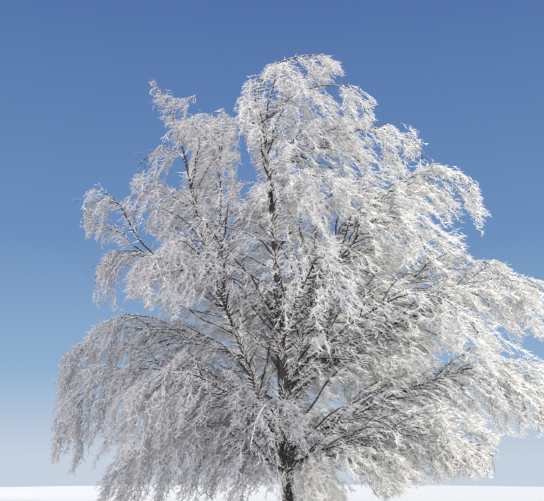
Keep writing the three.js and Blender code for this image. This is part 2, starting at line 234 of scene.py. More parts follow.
# Short frosted twigs on the bark, in clumps on the trunk and the stems
SPUR_SPACING = {"trunk": 0.008, "stem": 0.01, "bough": 0.025}
SPUR_LENGTH = {"trunk": 0.32, "stem": 0.28, "bough": 0.2}
SPUR_FIRST = 0.01
SPUR_ROOT = 0.9
SPUR_SHORTEST = 0.4
SPUR_SPREAD = 65
SPUR_CLUMP = 0.35
BARE_OF_SPURS = 0.45

# The crown is evenly full: so many hanging twigs at most to each cube of it, and one more behind the trunk
CUBE = 0.5
MOST_IN_CUBE = 8
MOST_BEHIND = 9

# Low behind the trunk and to the right of its foot the photo shows no sky, so twigs are fuller there, and
# more branches leave the back of the trunk at its fork.
CLOSED_X = 0.2
CLOSED_HALF = 3.1
CLOSED_BEHIND = 5.6
CLOSED_LOW = 2
CLOSED_FULLNESS = 1.6
MOST_WHERE_CLOSED = 11
CLOSING_BRANCHES = 34
CLOSING_SPAN = (0.17, 0.4)
CLOSING_LENGTH = 2.3
CLOSING_BACKWARD = 0.25

# The photo shows bark through the veil, so a share of the twigs that would hide it is left out, for branches
# up to a height. It is at least this much before the stems and low on the right, this much at the trunk's
# foot, and little in patches where noise is low, which stay veiled.
STEM_SHOWN = 0.85
OPEN_SHOWN = 0.62
FOOT_SHOWN = 0.9
VEILED_SHOWN = 0.15
STEM_VEILED = 0.25
BRANCH_VEILED = 0.4
SHOWN_PATCH = 0.8
SHOWN_TO_HEIGHT = 8.5
OPEN_FROM = 0.8
OPEN_BELOW = 5.5
FOOT_HALF = 0.5
FOOT_HEIGHT = 1.1

# How finely the bark that the camera could see is mapped, and how far along its branches
SHOWN_CELL = 0.03
DEPTH_GRID = (700, 500)
LIMB_SAMPLES = 400
BRANCH_SAMPLES = 150
BRANCH_SEEN = 3

# The way that twigs hang: leaning out all round, and swept to the right on the right
LEAN_OUT = 0.16
LEAN_FROM = 0.3
SWEEP = 0.8
SWEEP_FROM = -0.8
SWEEP_OVER = 3.2

# Sprays that the photo shows thin, with sky through them, and those that it shows full
FULLNESS = {
    "left_stem": 0.6, "left_far": 0.65, "left_far_low": 0.9, "left_high": 0.8, "left_top": 0.7, "foot": 4,
    "right_lowest": 2.8, "right_low": 2.4, "right_mid": 1.3, "right_upper": 1.2, "left_mid": 1.3,
    "left_low": 1.3, "left_lowest": 1.3, "front_mid": 0.8, "front_left": 0.8, "front_right": 0.8,
    "front_low": 0.4, "back_low": 1.6, "back_left": 1.6, "back_right": 2, "back_mid": 1.6,
}

# Where the camera stands, and the crown's outline (x, z) that it sees, on the upright plane through the trunk
CAMERA_PLACE = (-0.55, -24.48, 1.6)
OUTLINE = [
    (-6.75, 0.3), (-6.85, 3.2), (-6.65, 4.75), (-5.6, 5.45), (-5.75, 7.25), (-5.6, 7.8), (-6.15, 7.9),
    (-6.35, 9.2), (-6.05, 9.55), (-5.7, 9.85), (-5.2, 9.45), (-4.3, 10.15), (-4.2, 10.6), (-3.9, 11.15),
    (-3.75, 11.5), (-4.3, 12.0), (-4.1, 12.4), (-4.55, 13.0), (-4.2, 13.3), (-3.6, 12.65), (-2.85, 12.75),
    (-3.05, 12.2), (-2.65, 11.9), (-2.2, 12.25), (-1.75, 11.85), (-1.6, 11.05), (-1.35, 10.3), (-1.5, 9.7),
    (-1.3, 9.0), (-1.05, 9.7), (-1.2, 10.75), (-1.6, 11.5), (-1.65, 12.8), (-1.35, 13.05), (-1.05, 13.55),
    (-0.7, 13.95), (0.1, 14.1), (0.95, 14.1), (1.45, 13.8), (1.75, 13.3), (0.85, 12.65), (1.4, 12.6),
    (2.15, 12.8), (2.6, 12.4), (2.6, 11.65), (1.95, 11.1), (2.6, 11.25), (3.3, 11.6), (3.9, 11.45),
    (4.15, 10.9), (3.5, 10.15), (4.2, 10.3), (4.85, 10.35), (5.3, 10.1), (5.65, 9.5), (5.95, 8.7),
    (5.8, 8.2), (5.4, 7.7), (5.25, 7.2), (6.0, 7.4), (6.55, 7.25), (7.5, 6.75), (7.55, 6.2), (7.6, 5.75),
    (8.2, 4.9), (8.0, 2.35), (5.85, 2.2), (5.45, 1.15), (3.0, 0.75), (2.6, 0.3),
]
# Gaps in the crown with sky behind them, as ellipses on the same plane: x, z, half width and half height
SKY_GAPS = [(-4.6, 5.8, 0.38, 0.24), (-4.3, 7.8, 0.38, 0.34), (-3.25, 10.5, 0.2, 0.4),
            (-3.45, 9.75, 0.24, 0.16), (-4.85, 9.3, 0.15, 0.38)]
# How far noise shifts the outline and the gaps, and over what distance
RAGGED = 0.5
RAGGED_CELL = 0.22


def random_stream(seed):
    """Numbers from 0 to 1 that depend on nothing but the seed, as in the part's source."""
    state = (seed * 2654435761 + 12345) & 0xFFFFFFFF
    while True:
        state = (state * 1664525 + 1013904223) & 0xFFFFFFFF
        yield state / 4294967296


def varied(value, number):
    return value * (1 - VARIATION + 2 * VARIATION * number)


def unit(vectors):
    return vectors / np.linalg.norm(vectors, axis=-1, keepdims=True)


def heading(azimuth, elevation):
    azimuth, elevation = np.radians(azimuth), np.radians(elevation)
    flat = np.cos(elevation)
    return np.stack([flat * np.cos(azimuth), flat * np.sin(azimuth), np.sin(elevation)], axis=-1)


def grow_paths(start, azimuth, turn, rise, droop, length, strays, bend):
    """The paths (n, points, 3) of n limbs or twigs that bend, turn and wander on their way."""
    steps = strays.shape[1]
    share = (np.arange(steps) + 0.5) / steps
    azimuths = np.asarray(azimuth)[:, None] + np.asarray(turn)[:, None] * share
    rises = np.asarray(rise)[:, None] - np.asarray(droop)[:, None] * share**bend
    legs = unit(heading(azimuths, rises) + strays) * (np.asarray(length) / steps)[:, None, None]
    return np.concatenate([start[:, None], start[:, None] + np.cumsum(legs, axis=1)], axis=1)


def grow_path(start, azimuth, turn, rise, droop, length, steps, bend, wander, random):
    strays = np.array([[[next(random) - 0.5 for _ in range(3)] for _ in range(steps)]]) * wander
    return grow_paths(start[None], [azimuth], [turn], [rise], [droop], [length], strays, bend)[0]


def place_on(paths, share):
    """The point at a share of each path's length, and the way that the path heads there."""
    steps = paths.shape[1] - 1
    leg = np.minimum((share * steps).astype(int), steps - 1)
    row = np.arange(len(paths))
    begin = paths[row, leg]
    along = paths[row, leg + 1] - begin
    return begin + along * (share * steps - leg)[:, None], unit(along)


def on_path(path, shares):
    """The points at shares of one path's length, and the ways that it heads there."""
    return place_on(np.repeat(path[None], len(shares), axis=0), np.array(shares))


def turned_aside(way, spread, around):
    """Directions at an angle of spread to each way, and of around about it, flattened to the level."""
    flat = np.hypot(way[:, 0], way[:, 1])[:, None]
    level = np.column_stack([-way[:, 1], way[:, 0], np.zeros(len(way))]) / np.maximum(flat, UPRIGHT)
    level = np.where(flat < UPRIGHT, (1.0, 0.0, 0.0), level)
    above = np.cross(way, level)
    around = np.radians(around)[:, None]
    spread = np.radians(spread)
    aside = unit(level * np.cos(around) + above * np.sin(around) * FLATTENING)
    return unit(way * np.cos(spread) + aside * np.sin(spread))


def spiralled(way, order, spread, rng, stray=SPIRAL_STRAY):
    """Directions that leave each way by the turns of a spiral, and the angle of each to its way."""
    spreads = varied(spread, rng.random(len(order)))[:, None]
    return turned_aside(way, spreads, order * SPIRAL + stray * rng.random(len(order))), spreads


def limb_radius(limb, share):
    tip = LIMB_TIP_RADIUS + LIMB_TIP_SHARE * limb.radius
    return tip + (limb.radius - tip) * (1 - share) ** LIMB_TAPER


# A mass of twigs: its stem's path, and the limb that it goes on from, if it has one
Spray = namedtuple("Spray", "name path length radius limb")


def stem_radius(root, share):
    """How thick a spray's stem is at a share of its length."""
    return root + (SPRAY_TIP_RADIUS - root) * share


paths = {}
sprays = []


def grow_limb(limb, seed):
    random = random_stream(seed)
    if limb.parent:
        start = on_path(paths[limb.parent], [limb.at])[0][0]
        steps, wander = BOUGH_STEPS, BOUGH_WANDER
    else:
        start, steps, wander = np.zeros(3), TRUNK_STEPS, TRUNK_WANDER
    growth = (limb.azimuth, limb.turn, limb.rise, limb.droop, limb.length)
    path = grow_path(start, *growth, steps, LIMB_BEND, wander, random)
    tip = path[-1] + unit(path[-1] - path[-2]) * GAP
    hang = (limb.azimuth + limb.turn, 0, limb.rise - limb.droop, limb.hang, limb.spray)
    stem = grow_path(tip, *hang, SPRAY_STEPS, TWIG_BEND, TWIG_WANDER, random)
    paths[limb.name] = path
    name = limb.name.replace("_bough", "") + "_twigs"
    sprays.append(Spray(name, stem, limb.spray, limb_radius(limb, 1), limb))


def grow_shoot(shoot, seed):
    start = on_path(paths[shoot.parent], [shoot.at])[0][0]
    growth = (shoot.azimuth, 0, shoot.rise, shoot.hang, shoot.spray)
    stem = grow_path(start, *growth, SPRAY_STEPS, TWIG_BEND, TWIG_WANDER, random_stream(seed))
    sprays.append(Spray(shoot.name, stem, shoot.spray, shoot.radius, None))


for number, plan in enumerate(LIMBS):
    grow_limb(plan, number + 1)
for number, plan in enumerate(SHOOTS):
    grow_shoot(plan, len(LIMBS) + number + 1)


# The stretches of every stem and of every limb, which tell whose space a point is in
stem_from = np.concatenate([spray.path[:-1] for spray in sprays])
stem_to = np.concatenate([spray.path[1:] for spray in sprays])
stem_owner = np.repeat(np.arange(len(sprays)), SPRAY_STEPS)
limb_from = np.concatenate([paths[limb.name][:-1] for limb in LIMBS])
limb_to = np.concatenate([paths[limb.name][1:] for limb in LIMBS])
limb_steps = [TRUNK_STEPS if limb.parent is None else BOUGH_STEPS for limb in LIMBS]
limb_room = np.concatenate([limb_radius(limb, np.arange(n) / n) for limb, n in zip(LIMBS, limb_steps)])
limb_room += LIMB_CLEARANCE
outline_from = np.array(OUTLINE)
outline_to = np.roll(outline_from, -1, axis=0)
low_corner = np.array(cad_box[0]) - BOX_ROOM
high_corner = np.array(cad_box[1]) + BOX_ROOM
low_corner[2] = LOWEST_TWIG


def distances(points, starts, ends):
    """The distance (points, stretches) from each point to each stretch."""
    along = ends - starts
    offset = points[:, None] - starts
    share = np.clip(np.einsum("psk,sk->ps", offset, along) / np.sum(along**2, axis=1), 0, 1)
    return np.linalg.norm(offset - share[..., None] * along, axis=-1)


def as_seen(points):
    """Where the camera sees each point on the upright plane through the trunk, and how far off it is."""
    x, y, z = CAMERA_PLACE
    depth = points[:, 1] - y
    nearer = -y / depth
    return x + (points[:, 0] - x) * nearer, z + (points[:, 2] - z) * nearer, depth


def is_seen_inside(points):
    """Whether each point, as the camera sees it, is inside the crown's ragged outline and in no gap."""
    across, up, _ = as_seen(points)
    across = across + RAGGED * (lattice_noise(points / RAGGED_CELL, "across") - 0.5)
    up = up + RAGGED * (lattice_noise(points / RAGGED_CELL, "up") - 0.5)
    is_in_gap = [((across - a) / wide) ** 2 + ((up - b) / high) ** 2 < 1 for a, b, wide, high in SKY_GAPS]
    (x0, z0), (x1, z1) = outline_from.T, outline_to.T
    spans = (z0 > up[:, None]) != (z1 > up[:, None])
    with np.errstate(divide="ignore", invalid="ignore"):
        crossing = x0 + (up[:, None] - z0) * (x1 - x0) / (z1 - z0)
    is_inside = np.sum(spans & (across[:, None] < crossing), axis=1) % 2 == 1
    return is_inside & ~np.any(is_in_gap, axis=0)


def is_free(points, owner, keeps_outline):
    """Whether each point is in its owner's space, unless that is -1, and clear of the limbs."""
    free = np.all((points >= low_corner) & (points <= high_corner), axis=1)
    if keeps_outline:
        free &= is_seen_inside(points)
    for begin in range(0, len(points), POINTS_AT_ONCE):
        part = slice(begin, begin + POINTS_AT_ONCE)
        clear = distances(points[part], limb_from, limb_to) >= limb_room
        free[part] &= clear.all(axis=1)
        if np.all(owner[part] < 0):
            continue
        reach = distances(points[part], stem_from, stem_to)
        is_own = stem_owner == owner[part, None]
        own = np.where(is_own, reach, np.inf).min(axis=1) + CELL_MARGIN
        others = np.where(is_own, np.inf, reach).min(axis=1)
        free[part] &= (others >= own) | (owner[part] < 0)
    return free


def fitted(twigs, owner=None, keeps_outline=True, tests_middles=True):
    """The twigs, each shorter where it would leave its space, and whether there is room for it at all."""
    owner = np.full(len(twigs), -1) if owner is None else owner
    fitting = twigs.copy()
    is_kept = np.zeros(len(twigs), bool)
    for part in SHARES_TRIED:
        row = np.flatnonzero(~is_kept)
        shorter = twigs[row, :1] + (twigs[row] - twigs[row, :1]) * part
        tested = shorter[:, 1:]
        if tests_middles:
            tested = np.concatenate([tested, (tested + shorter[:, :-1]) / 2], axis=1)
        free = is_free(tested.reshape(-1, 3), np.repeat(owner[row], tested.shape[1]), keeps_outline)
        passes = free.reshape(len(row), tested.shape[1]).all(axis=1)
        fitting[row[passes]] = shorter[passes]
        is_kept[row[passes]] = True
    return fitting, is_kept


Twigs = namedtuple("Twigs", "paths radius spray")
stems = Twigs(np.array([spray.path for spray in sprays]), None, np.arange(len(sprays)))


def joined(*groups):
    return Twigs(*(np.concatenate(parts) for parts in zip(*groups)))


def source_twig(parent, share, spread, around, length, droop, steps, number, random):
    point, way = on_path(parent, [share])
    turned = turned_aside(way, spread, np.array([around]))[0]
    rise = math.degrees(math.asin(turned[2]))
    azimuth = math.degrees(math.atan2(turned[1], turned[0]))
    growth = (azimuth, 0, rise, min(droop, rise + STEEPEST), length)
    path = grow_path(point[0], *growth, steps, TWIG_BEND, TWIG_WANDER, random)
    path, is_kept = fitted(path[None], np.array([number]), keeps_outline=False)
    return path[0] if is_kept[0] else None


def source_twigs():
    """The side twigs of every spray, and the hanging twig of each, just as the source grows them."""
    sides, hangings = [], []
    for number, spray in enumerate(sprays):
        random = random_stream(TWIG_SEED + number)
        for i in range(SIDE_TWIGS):
            share = SIDE_FIRST + (SIDE_LAST - SIDE_FIRST) * i / (SIDE_TWIGS - 1)
            part = SIDE_LONGEST + (SIDE_SHORTEST - SIDE_LONGEST) * share
            length = varied(spray.length * part, next(random))
            around = i * SPIRAL + SPIRAL_STRAY * next(random)
            droop = varied(SIDE_DROOP, next(random))
            twig = (SIDE_SPREAD, around, length, droop, SIDE_STEPS)
            side = source_twig(spray.path, share, *twig, number, random)
            if side is None:
                continue
            radius = JOIN_SHARE * stem_radius(spray.radius, share)
            sides.append((side, radius, number))
            around = HANGING_STRAY * next(random)
            length = varied(length * HANGING_LENGTH, next(random))
            twig = (HANGING_SPREAD, around, length, HANGING_DROOP, HANGING_STEPS)
            hanging = source_twig(side, HANGING_FIRST, *twig, number, random)
            if hanging is not None:
                thinned = 1 - (1 - TWIG_TIP_SHARE) * HANGING_FIRST
                hangings.append((hanging, JOIN_SHARE * radius * thinned, number))
    return [Twigs(*(np.array(column) for column in zip(*group))) for group in (sides, hangings)]


def stream(points):
    """The way that a twig at each point comes to hang."""
    outward = points[:, :2] / np.maximum(np.hypot(points[:, 0], points[:, 1]), LEAN_FROM)[:, None]
    rightward = np.clip((points[:, 0] - SWEEP_FROM) / SWEEP_OVER, 0, 1)
    level = outward * LEAN_OUT + np.outer(rightward, (SWEEP, 0))
    return unit(np.column_stack([level, -np.ones(len(points))]))


def ranks(counts):
    """The numbers from 0 up within each of some runs, which have these counts."""
    return np.arange(np.sum(counts)) - np.repeat(np.cumsum(counts) - counts, counts)


def spots(counts, first, last, rng):
    """Each host's own count of places along it: the host's row, the place's number on it, and its share."""
    host = np.repeat(np.arange(len(counts)), counts)
    order = ranks(counts)
    share = first + (last - first) * (order + rng.random(len(host))) / counts[host]
    return host, order, share


def branched(hosts, counts, first, last, spread, length, droop, steps, rng, bend=TWIG_BEND, start_out=None,
             hangs=False):
    """Twigs that leave the hosts by the source's rule, with a length for each host and share."""
    host, order, share = spots(counts, first, last, rng)
    size = len(host)
    point, way = place_on(hosts.paths[host], share)
    turned, _ = spiralled(way, order, spread, rng)
    if start_out is not None:
        outward = unit(turned - way * np.sum(turned * way, axis=1, keepdims=True))
        point = point + outward * start_out(host, share)[:, None]
    rise = np.degrees(np.arcsin(turned[:, 2]))
    azimuth = np.degrees(np.arctan2(turned[:, 1], turned[:, 0]))
    turn = np.zeros(size)
    droops = varied(droop, rng.random(size))
    if hangs:
        hung = stream(point)
        aim = np.degrees(np.arctan2(hung[:, 1], hung[:, 0]))
        turn = (aim - azimuth + 180) % 360 - 180
        droops = (rise - np.degrees(np.arcsin(hung[:, 2]))) * varied(HANG_SHARE, rng.random(size))
    droops = np.minimum(droops, rise + STEEPEST)
    strays = (rng.random((size, steps, 3)) - 0.5) * FINE_WANDER
    lengths = varied(length(host, share), rng.random(size))
    grown = grow_paths(point, azimuth, turn, rise, droops, lengths, strays, bend)
    return grown, host, share


def keep(twigs, mask):
    return Twigs(twigs.paths[mask], twigs.radius[mask], twigs.spray[mask])


def with_room(grown, radius, spray, owner=None):
    """The twigs of these paths, each shorter where it has to be, without those that have no room."""
    grown, is_kept = fitted(grown, owner)
    return keep(Twigs(grown, np.full(len(grown), radius), spray), is_kept)


def lengths_of(group):
    return np.linalg.norm(np.diff(group, axis=1), axis=2).sum(axis=1)


def kind_of(limb):
    return "bough" if limb.name.endswith("bough") else "stem" if limb.parent else "trunk"


def off_limb(number, count, first, last, length, rng):
    """Branches that leave the surface of the limb with this number, and whether there is room for each."""
    limb = LIMBS[number]
    kind = kind_of(limb)
    host = Twigs(paths[limb.name][None], None, None)

    def surface(_, share):
        return LATERAL_ROOT * limb_radius(limb, share)

    grown, _, _ = branched(host, np.array([count]), first, last, LATERAL_SPREAD[kind], length,
                           LATERAL_DROOP[kind], LATERAL_STEPS, rng, bend=LIMB_BEND, start_out=surface)
    grown, is_kept = fitted(grown, tests_middles=False)
    return Twigs(grown, LATERAL_SLENDER * lengths_of(grown), np.full(len(grown), number)), is_kept


def limb_laterals(rng):
    """Branches that leave the limbs themselves, all along them."""
    made = []
    for number, limb in enumerate(LIMBS):
        kind = kind_of(limb)
        first = LATERAL_FIRST if limb.parent else TRUNK_LATERAL_FIRST
        full = min(fullness(number), FULLEST_LATERALS) if kind == "bough" else 1
        count = round(limb.length * (1 - first) / LATERAL_SPACING[kind] * full)

        def length(_, share, limb=limb, kind=kind):
            low = 1 if limb.parent else np.clip((share * limb.length - SHORT_FROM) / SHORT_OVER, 0, 1)
            return LATERAL_LENGTH[kind] * (LATERAL_MOST - LATERAL_LOSS * share) * low

        laterals, is_kept = off_limb(number, count, first, LATERAL_LAST, length, rng)
        grown = laterals.paths
        middles = (grown[:, 1:] + grown[:, :-1]) / 2
        is_kept &= is_seen_inside(middles.reshape(-1, 3)).reshape(len(grown), -1).all(axis=1)
        if kind != "bough":
            ahead = grown[:, 1] - grown[:, 0]
            from_viewer = np.abs(np.degrees(np.arctan2(ahead[:, 0], -ahead[:, 1])))
            is_kept &= (from_viewer > OPEN_FRONT) | (grown[:, 0, 2] > OPEN_TO_HEIGHT)
        made.append(keep(laterals, is_kept))
    return joined(*made)


def closing_branches():
    """More branches, which leave the back of the trunk at its fork."""
    rng = np.random.default_rng(SEED + 1)
    branches, is_kept = off_limb(0, CLOSING_BRANCHES, *CLOSING_SPAN, lambda *_: CLOSING_LENGTH, rng)
    is_kept &= unit(branches.paths[:, 1] - branches.paths[:, 0])[:, 1] > CLOSING_BACKWARD
    return keep(branches, is_kept)


def bark_spurs(rng):
    """Short frosted twigs that stand out all round the limbs."""
    made = []
    for number, limb in enumerate(LIMBS):
        kind = kind_of(limb)
        count = round(limb.length / SPUR_SPACING[kind])
        _, order, share = spots(np.array([count]), SPUR_FIRST, 1, rng)
        point, way = on_path(paths[limb.name], share)
        turned, spread = spiralled(way, order, SPUR_SPREAD, rng)
        depth = SPUR_ROOT * limb_radius(limb, share) / np.sin(np.radians(spread[:, 0]))
        root = point + turned * depth[:, None]
        tip = root + turned * (SPUR_LENGTH[kind] * (SPUR_SHORTEST + rng.random(count)))[:, None]
        spurs = Twigs(np.stack([root, tip], axis=1), np.full(count, TWIGLET_RADIUS), np.full(count, number))
        is_kept = is_seen_inside(tip) & (root[:, 2] > LOWEST_TWIG)
        if kind != "bough":
            is_kept &= lattice_noise(root / SPUR_CLUMP, "clumps") > BARE_OF_SPURS
            is_kept &= (root[:, 2] > FOOT_HEIGHT) | (rng.random(count) > FOOT_SHOWN)
        made.append(keep(spurs, is_kept))
    return joined(*made)


def fullness(spray_numbers):
    full = [FULLNESS.get(spray.name.removesuffix("_twigs"), 1) for spray in sprays]
    return np.array(full)[spray_numbers]


def fine_sides(rng):
    """More side twigs up each spray's stem."""
    long = np.array([spray.length for spray in sprays])
    root = np.array([spray.radius for spray in sprays])
    counts = np.round(FINE_SIDE_TWIGS * fullness(stems.spray)).astype(int)

    def length(host, share):
        return long[host] * (SIDE_LONGEST + (SIDE_SHORTEST - SIDE_LONGEST) * share)

    grown, host, share = branched(stems, counts, SIDE_FIRST, FINE_SIDE_LAST, SIDE_SPREAD, length, SIDE_DROOP,
                                  SIDE_STEPS, rng)
    radius = JOIN_SHARE * stem_radius(root[host], share)
    return with_room(grown, radius, host, owner=host)


def is_closed(x, y, z):
    is_low = (y > 0) & (z < CLOSED_BEHIND) | (x > 0) & (z < CLOSED_LOW)
    return is_low & (np.abs(x - CLOSED_X) < CLOSED_HALF)


def counts_on(hosts, spacing, rng):
    """How many twigs each host carries, with more where they close the view under the crown."""
    x, y, z = hosts.paths.mean(axis=1).T
    full = fullness(hosts.spray) * np.where(is_closed(x, y, z), CLOSED_FULLNESS, 1)
    wanted = lengths_of(hosts.paths) * full / spacing
    return np.floor(wanted + rng.random(len(wanted))).astype(int)


def fine_twigs(growth, hosts, spacing, first, rng):
    """Twigs of one kind, along each host from a first share of it on."""
    long = np.minimum(lengths_of(hosts.paths), LONGEST_HOST) if growth.by_host else np.ones(len(hosts.paths))

    def length(host, share):
        return growth.length * long[host] * (growth.most - growth.loss * share)

    counts = counts_on(hosts, spacing, rng)
    grown, host, _ = branched(hosts, counts, first, growth.last, growth.spread, length, growth.droop,
                              growth.steps, rng, bend=growth.bend, hangs=growth.droop == 0)
    return with_room(grown, growth.radius, hosts.spray[host])


def bark_depths(runs, count, highest=math.inf):
    """Over the plane of the outline, how far off the farthest of some paths lies in each small cell."""
    shares = np.linspace(0, 1, count, endpoint=False)
    samples = np.concatenate([on_path(path, shares)[0] for path in runs])
    across, up, depth = as_seen(samples[samples[:, 2] < highest])
    column, row = depth_cell(across, up)
    depths = np.zeros(DEPTH_GRID)
    for i, j in product((-1, 0, 1), repeat=2):
        np.maximum.at(depths, (column + i, row + j), depth)
    return depths


def depth_cell(across, up):
    column = np.clip((across + DEPTH_GRID[0] * SHOWN_CELL / 2) / SHOWN_CELL, 1, DEPTH_GRID[0] - 2)
    row = np.clip(up / SHOWN_CELL, 1, DEPTH_GRID[1] - 2)
    return column.astype(int), row.astype(int)


def is_before(twigs, depths):
    """Whether each twig hides any of some bark from the camera."""
    hides = np.zeros(len(twigs.paths), bool)
    for i in range(1, twigs.paths.shape[1]):
        for point in (twigs.paths[:, i], (twigs.paths[:, i] + twigs.paths[:, i - 1]) / 2):
            across, up, depth = as_seen(point)
            hides |= depths[depth_cell(across, up)] > depth
    return hides


def unveiled(twigs, bark_behind, rng, shown):
    """The twigs without most of those that hide the bark from the camera."""
    before_stem, before_branch = (is_before(twigs, depths) for depths in bark_behind)
    x, _, z = twigs.paths[:, 0].T
    is_foot = (np.abs(x) < FOOT_HALF) & (z < FOOT_HEIGHT)
    is_open = (x > OPEN_FROM) & (z < OPEN_BELOW)
    patch = lattice_noise(twigs.paths[:, 0] * (1, 0, 1) / SHOWN_PATCH, "patches")
    for_stem = np.where(patch > STEM_VEILED, max(shown, STEM_SHOWN), VEILED_SHOWN)
    for_branch = np.where(patch > BRANCH_VEILED, shown, VEILED_SHOWN)
    for_branch = np.where(is_open, max(shown, OPEN_SHOWN), for_branch)
    chance = np.maximum(before_stem * for_stem, before_branch * for_branch)
    chance = np.where(is_foot & (chance > 0), FOOT_SHOWN, chance)
    return keep(twigs, rng.random(len(chance)) >= chance)


def evened(twigs, rng):
    """The twigs without those that are too many for their part of the crown."""
    size = len(twigs.paths)
    cube = np.floor(twigs.paths[:, 1] / CUBE + rng.random((size, 3)) - 0.5).astype(int)
    order = rng.permutation(size)
    group = np.unique(cube[order], axis=0, return_inverse=True)[1].ravel()
    place = np.empty(size, int)
    place[order[np.argsort(group, kind="stable")]] = ranks(np.bincount(group))
    x, y, z = twigs.paths[:, 0].T
    most = np.where(y > 0, MOST_BEHIND, MOST_IN_CUBE)
    most[is_closed(x, y, z)] = MOST_WHERE_CLOSED
    return keep(twigs, place < most)


def twiglets(hosts, count, rng):
    """So many twiglets all round each host."""
    host, order, share = spots(np.full(len(hosts.paths), count), TWIGLET_FIRST, 1, rng)
    point, way = place_on(hosts.paths[host], share)
    turned, _ = spiralled(way, order, TWIGLET_SPREAD, rng, TWIGLET_STRAY)
    length = TWIGLET_LENGTH * (TWIGLET_SHORTEST + TWIGLET_RANGE * rng.random(len(host)))
    tip = point + turned * (length * (TWIGLET_MOST - TWIGLET_LOSS * share))[:, None]
    is_inside = np.all((tip >= low_corner) & (tip <= high_corner), axis=1) & is_seen_inside(tip)
    ends = np.stack([point, tip], axis=1)
    return keep(Twigs(ends, np.full(len(ends), TWIGLET_RADIUS), hosts.spray[host]), is_inside)


# Meshes
SIDEWAYS = np.array((0.31, 0.95, 0.05))
PIECE_TRIANGLES = 180000
LATERAL_SIDES = 5
SIDE_TWIG_SIDES = 4
TWIG_SIDES = 3
FROSTED = ("weepers", "hanging_twigs", "source_twigs", "twiglets", "spurs")


def wall_faces(rings, sides):
    """The triangles between a tube's rings, and the numbers of a ring's corners and of those after them."""
    k = np.arange(sides)
    after = (k + 1) % sides
    a, b = (np.arange(rings - 1)[:, None] * sides + corner for corner in (k, after))
    return np.stack([a, b, b + sides, a, b + sides, a + sides], axis=-1).reshape(-1, 3), k, after


def tube_pattern(rings, sides):
    """The triangles of one tube: its wall, the point at its tip and the cap at its root."""
    walls, k, after = wall_faces(rings, sides)
    last, tip = (rings - 1) * sides, np.full(sides, rings * sides)
    fan = k[1:-1]
    return np.concatenate([walls, np.column_stack([last + k, last + after, tip]),
                           np.column_stack([0 * fan, fan + 1, fan])])


def rings_about(first, second, angle):
    """Directions at each angle from first towards second."""
    return first[:, None] * np.cos(angle)[..., None] + second[:, None] * np.sin(angle)[..., None]


def tubes(twigs, sides, rng):
    """Closed tubes along the twigs' paths, from a flat root to a point at the tip: corners and triangles."""
    count, points = twigs.paths.shape[:2]
    rings = points - 1
    way = unit(twigs.paths[:, -1] - twigs.paths[:, 0])
    side = unit(np.cross(way, SIDEWAYS))
    angle = 2 * math.pi * (rng.random(count)[:, None] + np.arange(sides) / sides)
    ring = rings_about(side, np.cross(way, side), angle)
    radii = twigs.radius[:, None] * (1 - (1 - TWIG_TIP_SHARE) * np.arange(rings) / rings)
    walls = twigs.paths[:, :-1, None] + ring[:, None] * radii[..., None, None]
    corners = np.concatenate([walls.reshape(count, -1, 3), twigs.paths[:, -1:]], axis=1)
    triangles = tube_pattern(rings, sides) + np.arange(count)[:, None, None] * corners.shape[1]
    return corners.reshape(-1, 3), triangles.reshape(-1, 3)


def catmull_rom(points, per_leg, before=None, after=None):
    """A smooth path through the points, with per_leg steps between each two."""
    before = 2 * points[0] - points[1] if before is None else before
    after = 2 * points[-1] - points[-2] if after is None else after
    padded = np.vstack([before, points, after])
    t = np.linspace(0, 1, per_leg, endpoint=False)[:, None]
    legs = [b + 0.5 * t * (c - a + t * (2 * a - 5 * b + 4 * c - d + t * (3 * (b - c) + d - a)))
            for a, b, c, d in zip(padded, padded[1:], padded[2:], padded[3:])]
    return np.vstack([*legs, points[-1]])


def swept(points, sides, is_level=False):
    """Around each point of a path, the directions (points, sides, 3) square to its way."""
    ways = unit(np.gradient(points, axis=0))
    if is_level:
        ways = np.tile((0.0, 0.0, 1.0), (len(points), 1))
    side = SIDEWAYS
    firsts = []
    for way in ways:
        side = unit(side - way * side.dot(way))
        firsts.append(side)
    firsts = np.array(firsts)
    angle = 2 * math.pi * np.arange(sides) / sides
    return rings_about(firsts, np.cross(ways, firsts), angle), angle


def grid_faces(rings, sides):
    """The triangles of a limb: its wall, and caps round a corner in the middle of its root and its tip."""
    walls, k, after = wall_faces(rings, sides)
    last, root = (rings - 1) * sides, np.full(sides, rings * sides)
    return np.concatenate([walls, np.column_stack([after, k, root]),
                           np.column_stack([last + k, last + after, root + 1])])


def lattice_noise(points, name):
    """Smooth noise from 0 to 1, one lattice cell to the unit, with a seed for each name."""
    cell = np.floor(points).astype(np.int64)
    part = points - cell
    part = part * part * (3 - 2 * part)
    total = np.zeros(points.shape[:-1])
    for corner in product((0, 1), repeat=3):
        x, y, z = np.moveaxis(cell + corner, -1, 0)
        mixed = x * 374761393 + y * 668265263 + z * 2147483647 + NOISE_SEEDS[name] * 974634777
        mixed &= 0xFFFFFFFF
        mixed = ((mixed ^ (mixed >> 13)) * 1274126177) & 0xFFFFFFFF
        value = ((mixed ^ (mixed >> 16)) & 0xFFFF) / 65535
        total += value * np.prod(np.where(corner, part, 1 - part), axis=-1)
    return total


